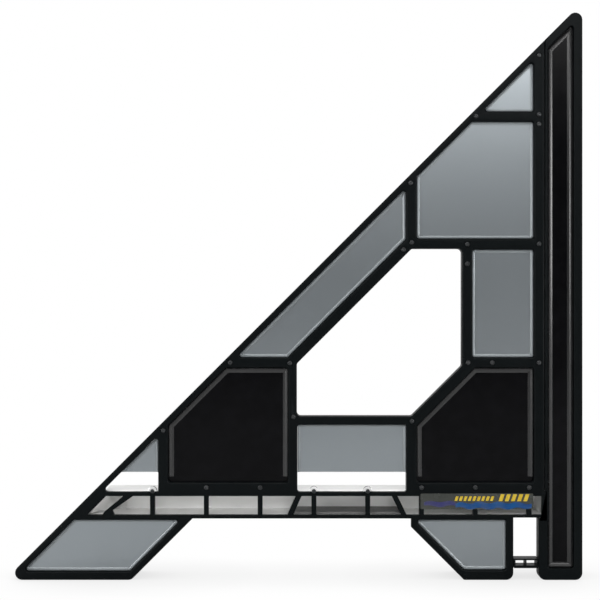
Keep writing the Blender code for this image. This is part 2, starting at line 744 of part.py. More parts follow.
def build():
    clear_scene()
    parts = new_collection("speed_square")
    cutters = new_collection("cutters")
    cutters.hide_render = True
    black = make_material("black_plastic", BLACK, 0.42)
    gloss = make_material("gloss_black", GLOSS_BLACK, 0.18)
    grey = make_material("pane_grey", PANE_GREY, 0.35)
    aluminium = make_material("aluminium", ALUMINIUM, 0.3, 1.0)
    dark = make_material("liner_grey", DARK_GREY, 0.5)
    rivet = make_material("rivet_grey", RIVET_GREY, 0.35, 1.0)
    label = make_material("label_grey", LABEL_GREY, 0.4)
    build_lattice_front(parts, black)
    build_lattice_back(parts, cutters, black)
    build_panes(parts, grey, gloss)
    build_leg_bases(parts, cutters, black)
    build_guide_rail(parts, cutters, black, gloss)
    build_fence(parts, cutters, aluminium, dark)
    build_label(parts, label)
    build_foot_link(parts, black)
    build_rivets(parts, cutters, rivet)


build()
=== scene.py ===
"""Looks for a speed square: a black ribbed frame with grey panes, a fence and a channelled guide rail.

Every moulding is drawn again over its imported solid, with rounded edges, filleted panels and domed
rivets, and gets a procedural finish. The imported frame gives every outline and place, so nothing
here moves or resizes it.
"""

from __future__ import annotations

import logging
import math
from dataclasses import dataclass, field, replace
from enum import Enum
from typing import Sequence

import bmesh
import bpy
from mathutils import Matrix, Vector


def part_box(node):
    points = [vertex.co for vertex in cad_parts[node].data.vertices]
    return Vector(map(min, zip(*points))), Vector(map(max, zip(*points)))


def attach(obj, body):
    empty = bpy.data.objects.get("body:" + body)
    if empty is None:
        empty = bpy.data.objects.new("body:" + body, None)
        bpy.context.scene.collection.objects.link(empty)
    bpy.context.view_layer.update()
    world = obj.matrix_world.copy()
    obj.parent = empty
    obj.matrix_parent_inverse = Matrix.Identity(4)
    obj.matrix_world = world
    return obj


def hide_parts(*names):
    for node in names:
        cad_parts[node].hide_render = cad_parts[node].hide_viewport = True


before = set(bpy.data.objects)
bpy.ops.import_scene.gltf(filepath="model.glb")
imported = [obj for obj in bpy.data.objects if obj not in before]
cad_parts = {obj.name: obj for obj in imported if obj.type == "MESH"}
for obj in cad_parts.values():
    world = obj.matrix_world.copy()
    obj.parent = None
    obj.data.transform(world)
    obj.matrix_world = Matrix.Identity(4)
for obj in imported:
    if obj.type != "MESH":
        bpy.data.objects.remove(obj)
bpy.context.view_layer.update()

LOG = logging.getLogger("speed_square")
MM = 0.001
BODY = "root"

WELD_GAP = 0.004 * MM
LEAST_TURN = math.radians(0.3)
LEAST_RADIUS = 0.12 * MM
LONGEST_CHORD = 4.0 * MM
CHORD_SPREAD = 0.02
FEWEST_CHORDS = 3
LEAST_SWEEP = 0.05
ROUNDEST_CORNER = math.radians(150.0)
PARALLEL_LIMIT = 1e-4
FILLET_SHARE = 0.45
ARC_STEPS = 7
EDGE_STEPS = 4
FLAT_LIMIT = math.radians(1.0)
SMOOTH_LIMIT = math.radians(38.0)

PANE_LAP = 1.5 * MM
WINDOW_RADIUS = 1.4 * MM


class Slot(Enum):
    """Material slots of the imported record."""

    BLACK_FRAME = "black_frame"
    GLOSS_BLACK = "gloss_black"
    PANE = "pane"
    ALUMINIUM = "aluminium"
    LINER = "liner"
    LABEL = "label"
    RIVET = "rivet"


class Kept(Enum):
    """Edges of an outline that a profile treats apart."""

    NONE = "none"
    BOTTOM = "bottom edges move by a distance of their own"
    TOP = "top edges don't move outwards"
    LEVEL = "level edges stay where they are"


class Side(Enum):
    """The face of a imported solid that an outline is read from."""

    FRONT = -1.0
    BACK = 1.0


# --- outlines


def left_of(direction: Vector) -> Vector:
    """The unit vector a quarter turn to the left of a direction in the (x, z) plane."""
    return Vector((-direction.y, direction.x)).normalized()


def crossing(start: Vector, along: Vector, other: Vector, other_along: Vector) -> Vector:
    """The point where two lines cross, each given by a point and a direction."""
    share = (other - start).cross(other_along) / along.cross(other_along)
    return start + along * share


def without_straight_points(points: Sequence[Vector]) -> list[Vector]:
    """Drop a closed loop's points where it doesn't turn.

    Args:
        points: The loop's points, in order.

    Returns:
        The points that are left.
    """
    kept = []
    for index, here in enumerate(points):
        into = here - points[index - 1]
        away = points[(index + 1) % len(points)] - here
        if abs(into.angle_signed(away)) > LEAST_TURN:
            kept.append(here)
    return kept


@dataclass(frozen=True)
class Outline:
    """A closed outline in the (x, z) plane, with its material on the left of its direction."""

    corners: tuple[Vector, ...]
    radii: tuple[float, ...]

    @classmethod
    def read(cls, loop: Sequence[Vector]) -> Outline:
        """Turn a faceted loop back into sharp corners with fillet radii.

        Args:
            loop: The loop's points, in order.

        Returns:
            The outline. A lug or a round hole stays a chain of points.
        """
        points = without_straight_points(loop)
        count = len(points)
        edges = [points[(index + 1) % count] - points[index] for index in range(count)]

        def same_arc(index: int) -> bool:
            """Whether an edge and the next one are chords of one arc."""
            one, two = edges[index % count], edges[(index + 1) % count]
            alike = abs(one.length - two.length) < CHORD_SPREAD * one.length
            return alike and one.length < LONGEST_CHORD

        first = next((index for index in range(count) if not same_arc(index - 1)), None)
        if first is None:
            return cls(tuple(points), (0.0,) * count)
        fillets: dict[int, tuple[Vector, float]] = {}
        absorbed: set[int] = set()
        index = first
        while index < first + count:
            chords = 1
            while same_arc(index + chords - 1):
                chords += 1
            into, away = edges[(index - 1) % count], edges[(index + chords) % count]
            sweep = abs(into.angle_signed(away))
            if chords >= FEWEST_CHORDS and LEAST_SWEEP < sweep < ROUNDEST_CORNER:
                start, end = points[index % count], points[(index + chords) % count]
                corner = crossing(start, into, end, away)
                radius = (corner - start).length * math.tan((math.pi - sweep) / 2.0)
                fillets[index % count] = (corner, radius)
                absorbed |= {(index + step) % count for step in range(chords + 1)}
            index += chords
        corners, radii = [], []
        for index in range(count):
            if index in fillets:
                corners.append(fillets[index][0])
                radii.append(fillets[index][1])
            elif index not in absorbed:
                corners.append(points[index])
                radii.append(0.0)
        return cls(tuple(corners), tuple(radii))

    @classmethod
    def slanted(cls, low: Vector, high: Vector, lean: float, radius: float) -> Outline:
        """Draw a parallelogram with level edges.

        Args:
            low: Its lower left corner.
            high: Its upper right corner, before the top leans.
            lean: How far the top leans to the right.
            radius: The fillet of each corner.

        Returns:
            Its outline as seen from the front.
        """
        places = ((low.x, low.y), (high.x, low.y), (high.x + lean, high.y), (low.x + lean, high.y))
        return cls(tuple(map(Vector, places)), (radius,) * 4)

    def turned(self) -> Outline:
        """The same outline with its material on the other side."""
        return Outline(self.corners[::-1], self.radii[::-1])

    def filleted(self, radius: float) -> Outline:
        """The same corners, each with one fillet radius."""
        return Outline(self.corners, (radius,) * len(self.corners))

    def span(self) -> tuple[Vector, Vector]:
        """The lowest and highest corners of the box round the outline."""
        across = [corner.x for corner in self.corners]
        up = [corner.y for corner in self.corners]
        return Vector((min(across), min(up))), Vector((max(across), max(up)))

    def inset(self, distance: float, kept: Kept = Kept.NONE, drop: float = 0.0) -> Outline:
        """Move every edge into the material.

        Args:
            distance: How far, or outwards where it is negative.
            kept: Level edges that are treated apart.
            drop: How far a kept bottom edge moves out of the material.

        Returns:
            The moved outline, with its fillets grown or shrunk to stay concentric.
        """
        count = len(self.corners)
        low, high = self.span()

        def shift(start: Vector, end: Vector) -> float:
            """The distance for one edge."""
            if kept is Kept.LEVEL and abs(start.y - end.y) < WELD_GAP:
                return 0.0
            if kept is Kept.BOTTOM and max(start.y, end.y) < low.y + WELD_GAP:
                return -drop
            if kept is Kept.TOP and min(start.y, end.y) > high.y - WELD_GAP:
                return max(distance, 0.0)
            return distance

        corners, radii = [], []
        for index, here in enumerate(self.corners):
            before, after = self.corners[index - 1], self.corners[(index + 1) % count]
            into, away = here - before, after - here
            start = here + left_of(into) * shift(before, here)
            end = here + left_of(away) * shift(here, after)
            turn = into.normalized().cross(away.normalized())
            corners.append(end if abs(turn) < PARALLEL_LIMIT else crossing(start, into, end, away))
            grown = self.radii[index] - math.copysign(distance, turn)
            radii.append(max(grown, LEAST_RADIUS) if self.radii[index] > 0.0 else 0.0)
        return Outline(tuple(corners), tuple(radii))

    def points(self) -> list[Vector]:
        """The outline as points, with a chain of chords for each fillet."""
        count = len(self.corners)
        places = []
        for index, here in enumerate(self.corners):
            if self.radii[index] <= 0.0:
                places.append(here)
                continue
            back = self.corners[index - 1] - here
            ahead = self.corners[(index + 1) % count] - here
            half = back.angle(ahead) / 2.0
            room = FILLET_SHARE * min(back.length, ahead.length)
            radius = min(self.radii[index], room * math.tan(half))
            before, after = back.normalized(), ahead.normalized()
            middle = here + (before + after).normalized() * (radius / math.sin(half))
            start = here + before * (radius / math.tan(half)) - middle
            finish = here + after * (radius / math.tan(half)) - middle
            sweep = start.angle_signed(finish)
            for step in range(ARC_STEPS + 1):
                places.append(middle + Matrix.Rotation(-sweep * step / ARC_STEPS, 2) @ start)
        return places


def merged_copy(node: str) -> bmesh.types.BMesh:
    """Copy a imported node's mesh, with its loose triangles joined.

    Args:
        node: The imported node's name.

    Returns:
        The copy.
    """
    body = bmesh.new()
    body.from_mesh(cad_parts[node].data)
    bmesh.ops.remove_doubles(body, verts=body.verts, dist=WELD_GAP)
    return body


def read_outlines(node: str, side: Side) -> list[Outline]:
    """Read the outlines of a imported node's flat front or back.

    Args:
        node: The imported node's name.
        side: The front or the back.

    Returns:
        The outer outline and then its holes, as seen from the front, largest first.
    """
    low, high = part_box(node)
    depth = low.y if side is Side.FRONT else high.y
    body = merged_copy(node)

    def on_side(face: bmesh.types.BMFace) -> bool:
        """Whether a face lies in the flat front or back."""
        return all(abs(vert.co.y - depth) < WELD_GAP for vert in face.verts)

    following = {}
    for face in filter(on_side, body.faces):
        for corner in face.loops:
            if sum(on_side(other) for other in corner.edge.link_faces) == 1:
                following[corner.vert] = corner.link_loop_next.vert
    loops = []
    while following:
        vert, after = following.popitem()
        loop = [vert]
        while after is not loop[0]:
            loop.append(after)
            after = following.pop(after)
        loops.append([Vector((vert.co.x, vert.co.z)) for vert in loop])
    body.free()
    if side is Side.BACK:
        loops = [loop[::-1] for loop in loops]
    loops.sort(key=lambda loop: -max(point.x for point in loop) + min(point.x for point in loop))
    return [Outline.read(loop) for loop in loops]


# --- meshes


Station = tuple[float, float]
Place = tuple[float, float, float]
Edges = list[bmesh.types.BMEdge]


def quarter(width: float, height: float) -> list[Station]:
    """A quarter of an ellipse as (run, fall) pairs, from (width, 0) to (0, height)."""
    turns = [math.pi / 2.0 * step / EDGE_STEPS for step in range(EDGE_STEPS + 1)]
    return [(width * (1.0 - math.sin(turn)), height * (1.0 - math.cos(turn))) for turn in turns]


def rounded_profile(front: float, back: float, front_round: float, back_round: float) -> list[Station]:
    """The section of a plate's edge, from its front face to its back face.

    Args:
        front: Depth of the front face.
        back: Depth of the back face.
        front_round: Radius of the front edge.
        back_round: Radius of the back edge.

    Returns:
        Stations of (inset, depth).
    """
    stations = [(run, front + fall) for run, fall in quarter(front_round, front_round)]
    return stations + [(fall, back - run) for run, fall in quarter(back_round, back_round)]


def linked(name: str, data: bpy.types.ID) -> bpy.types.Object:
    """A new object in the scene, with its mesh, light or camera."""
    made = bpy.data.objects.new(name, data)
    bpy.context.scene.collection.objects.link(made)
    return made


@dataclass
class Skin:
    """A closed skin, extruded ring by ring from flat outlines and capped."""

    name: str
    body: bmesh.types.BMesh = field(default_factory=bmesh.new)

    def wall(
        self, outline: Outline, stations: Sequence[Station], kept: Kept = Kept.NONE
    ) -> tuple[Edges, Edges]:
        """Extrude an outline's ring through the stations of a profile.

        Args:
            outline: The outline that the stations are inset from.
            stations: (inset, depth) of each ring.
            kept: Level edges that are treated apart.

        Returns:
            The first and the last ring's edges.
        """
        rings = [[(p.x, y, p.y) for p in outline.inset(inset, kept).points()] for inset, y in stations]
        verts = [self.body.verts.new(place) for place in rings[0]]
        first = [self.body.edges.new((verts[index - 1], verts[index])) for index in range(len(verts))]
        edges = first
        for ring in rings[1:]:
            made = bmesh.ops.extrude_edge_only(self.body, edges=edges)["geom"]
            fresh = {item for item in made if isinstance(item, bmesh.types.BMVert)}
            verts = [
                next(edge.other_vert(vert) for edge in vert.link_edges if edge.other_vert(vert) in fresh)
                for vert in verts
            ]
            for vert, place in zip(verts, ring):
                vert.co = place
            grown = [item for item in made if isinstance(item, bmesh.types.BMEdge)]
            edges = [edge for edge in grown if set(edge.verts) <= fresh]
        return first, edges

    def cap(self, edges: Edges) -> None:
        """Fill between rings of edges, of which inner ones are holes."""
        bmesh.ops.triangle_fill(self.body, use_beauty=True, edges=edges)

    def plate(
        self, outer: Outline, holes: Sequence[tuple[Outline, float]], depths: Station, rounds: Station
    ) -> None:
        """Add a plate with holes right through it.

        Args:
            outer: The outer outline.
            holes: Each hole's outline and the radius of its front edge.
            depths: Depths of the front and the back face.
            rounds: Radii of the outer outline's front edge and of every back edge.
        """
        fronts, backs = [], []
        for outline, radius in [(outer, rounds[0]), *holes]:
            profile = rounded_profile(*depths, radius, min(rounds[1], radius))
            first, last = self.wall(outline, profile)
            fronts += first
            backs += last
        self.cap(fronts)
        self.cap(backs)

    def cut_below(self, level: float) -> None:
        """Cut off everything under a level, and close the cut.

        Args:
            level: The height of the cut.
        """
        whole = [*self.body.verts, *self.body.edges, *self.body.faces]
        made = bmesh.ops.bisect_plane(
            self.body, geom=whole, plane_co=(0.0, 0.0, level), plane_no=(0.0, 0.0, -1.0), clear_outer=True
        )
        edges = [item for item in made["geom_cut"] if isinstance(item, bmesh.types.BMEdge)]
        bmesh.ops.holes_fill(self.body, edges=edges, sides=0)

    def finish(self, finish: Finish, *replaced: str) -> None:
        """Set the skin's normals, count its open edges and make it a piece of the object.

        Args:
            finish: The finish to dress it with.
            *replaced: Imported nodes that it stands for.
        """
        bmesh.ops.recalc_face_normals(self.body, faces=self.body.faces)
        open_edges = sum(not edge.is_manifold for edge in self.body.edges)
        mesh = bpy.data.meshes.new(self.name)
        self.body.to_mesh(mesh)
        self.body.free()
        mesh.shade_smooth()
        mesh.set_sharp_from_angle(angle=SMOOTH_LIMIT)
        piece = linked(self.name, mesh)
        mesh.materials.append(finish.material())
        evened = piece.modifiers.new("even_shading", "WEIGHTED_NORMAL")
        evened.keep_sharp = True
        evened.weight = 90
        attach(piece, BODY)
        if replaced:
            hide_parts(*replaced)
        LOG.info("%s: %d faces, %d open edges", self.name, len(mesh.polygons), open_edges)


# --- finishes


Socket = bpy.types.NodeSocket
Tree = bpy.types.NodeTree
Values = dict[str | int, object]


class Graph:
    """A node tree with short ways to add and join nodes."""

    def __init__(self, tree: Tree) -> None:
        """Start on an empty or a default tree."""
        self.tree = tree

    def node(self, kind: str, values: Values | None = None, **settings: object) -> bpy.types.Node:
        """Add a node.

        Args:
            kind: Its type, without the ShaderNode prefix.
            values: Values or source sockets for its inputs, by name or number.
            **settings: Its own settings.

        Returns:
            The node.
        """
        made = self.tree.nodes.new("ShaderNode" + kind)
        for name, value in settings.items():
            setattr(made, name, value)
        for name, value in (values or {}).items():
            if isinstance(value, Socket):
                self.tree.links.new(value, made.inputs[name])
            else:
                made.inputs[name].default_value = value
        return made

    def mixed(self, share: object, low: object, high: object) -> Socket:
        """Two colours mixed by a share from 0 to 1, each a value or a socket."""
        mix = self.node("Mix", {0: share, 6: low, 7: high}, data_type="RGBA")
        return mix.outputs[2]

    def ranged(self, value: Socket, source: Station, target: Station = (0.0, 1.0)) -> Socket:
        """A value mapped from its source range to a target range, clamped."""
        return self.node("MapRange", dict(enumerate((value, *source, *target)))).outputs[0]

    def calculated(self, operation: str, one: object, two: object) -> Socket:
        """The result of a Math node on two values or sockets."""
        return self.node("Math", {0: one, 1: two}, operation=operation).outputs[0]

    def place(self) -> Socket:
        """Object coordinates."""
        return self.node("TexCoord").outputs["Object"]

    def along(self, scale: Place, turn: float = 0.0) -> Socket:
        """Object coordinates, turned about Y and then stretched."""
        turned = self.node("Mapping", {0: self.place(), "Rotation": (0.0, turn, 0.0)})
        return self.node("Mapping", {0: turned.outputs[0], "Scale": scale}).outputs[0]

    def noise(self, place: Socket, scale: object, detail: float) -> Socket:
        """Noise from 0 to 1 at a place."""
        return self.node("TexNoise", {"Vector": place, "Scale": scale, "Detail": detail}).outputs[0]

    def effect(self, effect: Effect, level: float) -> Socket:
        """A shared effect's mask, at the scale or amount that it takes."""
        return self.node("Group", {0: level}, node_tree=effect.group()).outputs[0]


class Effect(Enum):
    """Surface effects that finishes share, each a node group with one input and one output."""

    MOTTLE = "mottle"
    GRAIN = "moulded_grain"
    BRUSHED = "brushed_lines"
    WEAR = "edge_wear"
    SCUFFS = "fine_scuffs"
    DUST = "settled_dust"

    def group(self) -> Tree:
        """The effect's node group, built at its first use."""
        made = bpy.data.node_groups.get(self.value)
        if made is not None:
            return made
        made = bpy.data.node_groups.new(self.value, "ShaderNodeTree")
        for name, way in (("Level", "INPUT"), ("Mask", "OUTPUT")):
            made.interface.new_socket(name, in_out=way, socket_type="NodeSocketFloat")
        mask = EFFECT_BUILDERS[self](Graph(made), made.nodes.new("NodeGroupInput").outputs[0])
        made.links.new(mask, made.nodes.new("NodeGroupOutput").inputs[0])
        return made


def build_mottle(graph: Graph, scale: Socket) -> Socket:
    """Slow cloudy variation from 0 to 1."""
    return graph.ranged(graph.noise(graph.place(), scale, 2.0), (0.2, 0.8))


def build_grain(graph: Graph, scale: Socket) -> Socket:
    """The fine pebbled texture of a spark-eroded mould."""
    place = graph.place()
    pebbles = graph.node("TexVoronoi", {"Vector": place, "Scale": scale}, feature="SMOOTH_F1")
    return graph.calculated("ADD", pebbles.outputs["Distance"], graph.noise(place, scale, 3.0))


def build_brushed(graph: Graph, scale: Socket) -> Socket:
    """Long fine lines along X, as on drawn or brushed metal."""
    lines = graph.along((14.0, 2600.0, 2600.0))
    return graph.ranged(graph.noise(lines, scale, 5.0), (0.25, 0.75))


def build_wear(graph: Graph, amount: Socket) -> Socket:
    """Rubbed edges, broken up by noise."""
    edge = graph.ranged(graph.node("NewGeometry").outputs["Pointiness"], (0.51, 0.6))
    broken = graph.ranged(graph.noise(graph.place(), 160.0, 6.0), (0.42, 0.62))
    return graph.calculated("MULTIPLY", graph.calculated("MULTIPLY", edge, broken), amount)


def build_scuffs(graph: Graph, amount: Socket) -> Socket:
    """Sparse hairline scuffs in two directions."""
    masks = []
    for turn, length in ((0.5, 9.0), (-0.9, 13.0)):
        lines = graph.along((length, 700.0, 700.0), turn)
        masks.append(graph.ranged(graph.noise(lines, 1.0, 2.0), (0.68, 0.74)))
    return graph.calculated("MULTIPLY", graph.calculated("MAXIMUM", *masks), amount)


def build_dust(graph: Graph, amount: Socket) -> Socket:
    """Dust that lies on faces that look up."""
    normal = graph.node("NewGeometry").outputs["Normal"]
    upward = graph.ranged(graph.node("SeparateXYZ", {0: normal}).outputs["Z"], (0.5, 1.0))
    broken = graph.ranged(graph.noise(graph.place(), 300.0, 5.0), (0.4, 0.7))
    return graph.calculated("MULTIPLY", graph.calculated("MULTIPLY", upward, broken), amount)


EFFECT_BUILDERS = {
    Effect.MOTTLE: build_mottle,
    Effect.GRAIN: build_grain,
    Effect.BRUSHED: build_brushed,
    Effect.WEAR: build_wear,
    Effect.SCUFFS: build_scuffs,
    Effect.DUST: build_dust,
}

Colour = tuple[float, float, float]


@dataclass(frozen=True)
class Finish:
    """A surface finish: its slot, its colours, how it shines, and the effects that break it up."""

    name: str
    slot: Slot
    base: Colour
    varied: Colour
    roughness: Station
    metallic: float = 0.0
    coat: float = 0.0
    coat_roughness: float = 0.1
    specular: float = 0.5
    mottle_scale: float = 20.0
    relief: Effect = Effect.GRAIN
    relief_scale: float = 1500.0
    relief_strength: float = 0.12
    relief_depth: float = 0.05 * MM
    worn: Colour = (0.1, 0.1, 0.1)
    wear: float = 0.35
    scuffs: float = 0.25
    dust: float = 0.15

    def colour(self, graph: Graph) -> Socket:
        """The base colour, clouded, worn at its edges and dusted."""
        cloud = graph.effect(Effect.MOTTLE, self.mottle_scale)
        rubbed = graph.effect(Effect.WEAR, self.wear)
        dusty = graph.effect(Effect.DUST, self.dust)
        clouded = graph.mixed(cloud, (*self.base, 1.0), (*self.varied, 1.0))
        worn = graph.mixed(rubbed, clouded, (*self.worn, 1.0))
        return graph.mixed(dusty, worn, (*DUST_COLOUR, 1.0))

    def material(self) -> bpy.types.Material:
        """The finish's material, built at its first use."""
        made = bpy.data.materials.get(self.name)
        if made is not None:
            return made
        made = bpy.data.materials.new(self.name)
        made.use_nodes = True
        graph = Graph(made.node_tree)
        shader = made.node_tree.nodes["Principled BSDF"]
        shader.inputs["Metallic"].default_value = self.metallic
        shader.inputs["Coat Weight"].default_value = self.coat
        shader.inputs["Coat Roughness"].default_value = self.coat_roughness
        shader.inputs["Specular IOR Level"].default_value = self.specular
        cloud = graph.effect(Effect.MOTTLE, self.mottle_scale * 3.0)
        scuffed = graph.effect(Effect.SCUFFS, self.scuffs)
        rough = graph.calculated("ADD", graph.ranged(cloud, (0.0, 1.0), self.roughness), scuffed)
        relief = graph.effect(self.relief, self.relief_scale)
        values = {"Strength": self.relief_strength, "Distance": self.relief_depth, "Height": relief}
        bump = graph.node("Bump", values)
        links = made.node_tree.links
        links.new(self.colour(graph), shader.inputs["Base Color"])
        links.new(rough, shader.inputs["Roughness"])
        links.new(bump.outputs[0], shader.inputs["Normal"])
        return made


DUST_COLOUR: Colour = (0.3, 0.29, 0.27)
SATIN_BLACK = Finish(
    "satin_black",
    Slot.BLACK_FRAME,
    (0.0018, 0.0026, 0.003),
    (0.0026, 0.0038, 0.0042),
    (0.3, 0.38),
    specular=0.055,
    worn=(0.02, 0.023, 0.025),
    dust=0.012,
)
POLISHED_BLACK = Finish(
    "polished_black",
    Slot.GLOSS_BLACK,
    (0.0016, 0.0016, 0.002),
    (0.0024, 0.0024, 0.0028),
    (0.14, 0.2),
    specular=0.06,
    relief_strength=0.03,
    scuffs=0.04,
    worn=(0.01, 0.01, 0.012),
    wear=0.1,
    dust=0.004,
)
PANE_GREY = Finish(
    "satin_grey_pane",
    Slot.PANE,
    (0.25, 0.275, 0.292),
    (0.27, 0.296, 0.312),
    (0.275, 0.285),
    metallic=0.86,
    mottle_scale=9.0,
    relief=Effect.MOTTLE,
    relief_scale=40.0,
    relief_strength=0.02,
    worn=(0.27, 0.295, 0.31),
    wear=0.05,
    scuffs=0.0,
    dust=0.02,
)
# Painted highlight: a paler, more diffuse grey than the pane's, so the bezel round every pane reads as a
# light line on all four sides whatever the lamps do.
PANE_HIGHLIGHT_BEZEL = Finish(
    "pane_bezel_painted_highlight",
    Slot.PANE,
    (0.2, 0.22, 0.23),
    (0.22, 0.24, 0.25),
    (0.34, 0.4),
    metallic=0.4,
    mottle_scale=9.0,
    relief=Effect.MOTTLE,
    relief_scale=40.0,
    relief_strength=0.02,
    scuffs=0.05,
    dust=0.05,
)
# Partly painted highlight: a lighter base than the polished black it rims, so the fillet reads as a faint
# light line; its stronger specular catches the lamps for real.
BLACK_BEZEL = Finish(
    "black_bezel",
    Slot.GLOSS_BLACK,
    (0.007, 0.0072, 0.0076),
    (0.011, 0.0112, 0.0116),
    (0.2, 0.26),
    specular=0.5,
    relief_strength=0.02,
    scuffs=0.04,
    worn=(0.03, 0.03, 0.032),
    dust=0.01,
)
BRUSHED_ALUMINIUM = Finish(
    "brushed_aluminium",
    Slot.ALUMINIUM,
    (0.78, 0.78, 0.77),
    (0.85, 0.85, 0.84),
    (0.28, 0.4),
    metallic=0.3,
    relief=Effect.BRUSHED,
    relief_scale=1.0,
    relief_strength=0.3,
    relief_depth=0.03 * MM,
    worn=(0.8, 0.8, 0.79),
    dust=0.05,
)
DARK_LINER = Finish("dark_liner", Slot.LINER, (0.1, 0.1, 0.1), (0.13, 0.13, 0.127), (0.45, 0.6))
RIVET_STEEL = Finish(
    "rivet_steel",
    Slot.RIVET,
    (0.018, 0.02, 0.021),
    (0.03, 0.032, 0.034),
    (0.3, 0.38),
    metallic=0.6,
    mottle_scale=300.0,
    relief_scale=3000.0,
    worn=(0.12, 0.12, 0.12),
)
LUG_STEEL = replace(
    RIVET_STEEL,
    name="plated_lug_rivet",
    base=(0.6, 0.6, 0.6),
    varied=(0.7, 0.7, 0.7),
    roughness=(0.26, 0.34),
    metallic=0.7,
    worn=(0.8, 0.8, 0.8),
)
LABEL_FILM = Finish(
    "label_film",
    Slot.LABEL,
    (0.022, 0.025, 0.021),
    (0.036, 0.039, 0.034),
    (0.2, 0.3),
    coat=0.12,
    specular=0.3,
    mottle_scale=60.0,
    wear=0.1,
)
YELLOW_INK = Finish(
    "yellow_ink",
    Slot.LABEL,
    (0.4, 0.27, 0.01),
    (0.52, 0.38, 0.04),
    (0.3, 0.4),
    specular=0.2,
    mottle_scale=400.0,
)
BLUE_INK = Finish(
    "blue_ink",
    Slot.LABEL,
    (0.002, 0.03, 0.13),
    (0.004, 0.06, 0.18),
    (0.3, 0.4),
    specular=0.15,
    mottle_scale=150.0,
)
VIOLET_INK = replace(BLUE_INK, name="violet_ink", base=(0.016, 0.018, 0.08), varied=(0.03, 0.03, 0.11))


# --- sub-assemblies


@dataclass
class FrontLattice:
    """The front half of the black frame, with the fence's ladder and the legs' rims."""

    rim_round: float = 1.0 * MM
    slot_round: float = 0.6 * MM
    pocket_round: float = 0.45 * MM
    rivet_round: float = 0.1 * MM
    back_round: float = 0.2 * MM
    rivet_width: float = 4.0 * MM
    rib_gain: float = 0.4 * MM
    lip_drop: float = 0.5 * MM

    def softened(self, hole: Outline) -> tuple[Outline, float]:
        """A hole as it is drawn, by what the hole is.

        Args:
            hole: The hole's packed outline.

        Returns:
            Its outline and its front edge's radius.
        """
        fence_low, fence_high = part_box("fence_channel")
        low, high = hole.span()
        if high.x - low.x < self.rivet_width and not any(hole.radii):
            return hole, self.rivet_round
        if fence_low.z < low.y and high.y < fence_high.z:
            return hole.inset(-self.rib_gain, Kept.LEVEL), self.pocket_round
        if not all(hole.radii) and low.y < fence_high.z + MM:
            return hole.inset(0.0, Kept.BOTTOM, -self.lip_drop), self.slot_round
        return hole, self.rim_round

    def build(self) -> None:
        """Draw the lattice as one plate with softened rims."""
        low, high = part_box("lattice_front")
        outer, *holes = read_outlines("lattice_front", Side.FRONT)
        skin = Skin("front_lattice")
        rounds = [self.softened(hole) for hole in holes]
        skin.plate(outer, rounds, (low.y, high.y), (self.rim_round, self.back_round))
        skin.finish(SATIN_BLACK, "lattice_front")


@dataclass
class BackMoulding:
    """The back half of the black frame, with a rabbet round every hole but the hand hole."""

    node: str = "lattice_back"
    name: str = "back_lattice"
    rear_round: float = 0.6 * MM
    front_round: float = 0.2 * MM
    rabbet: float = 1.8 * MM
    rabbet_depth: float = 2.3 * MM
    has_hand_hole: bool = True

    def build(self) -> None:
        """Draw the moulding with its rabbets open to the front."""
        low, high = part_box(self.node)
        outer, *holes = read_outlines(self.node, Side.BACK)
        ledge = low.y + self.rabbet_depth
        plain = rounded_profile(low.y, high.y, self.front_round, self.rear_round)
        behind = [station for station in plain if station[1] > (low.y + high.y) / 2.0]
        stepped = [(self.rabbet, low.y), (self.rabbet, ledge), (0.0, ledge), *behind]
        hand_hole = max(holes, key=lambda hole: max(hole.radii)) if self.has_hand_hole else None
        skin = Skin(self.name)
        fronts, backs = skin.wall(outer, plain)
        for hole in holes:
            first, last = skin.wall(hole, plain if hole is hand_hole else stepped)
            fronts = fronts + first
            backs = backs + last
        skin.cap(fronts)
        skin.cap(backs)
        skin.finish(SATIN_BLACK, self.node)


@dataclass
class LegBase(BackMoulding):
    """A deep open frame behind a leg's rim."""

    rear_round: float = 0.9 * MM
    front_round: float = 0.3 * MM
    rabbet: float = 2.1 * MM
    has_hand_hole: bool = False


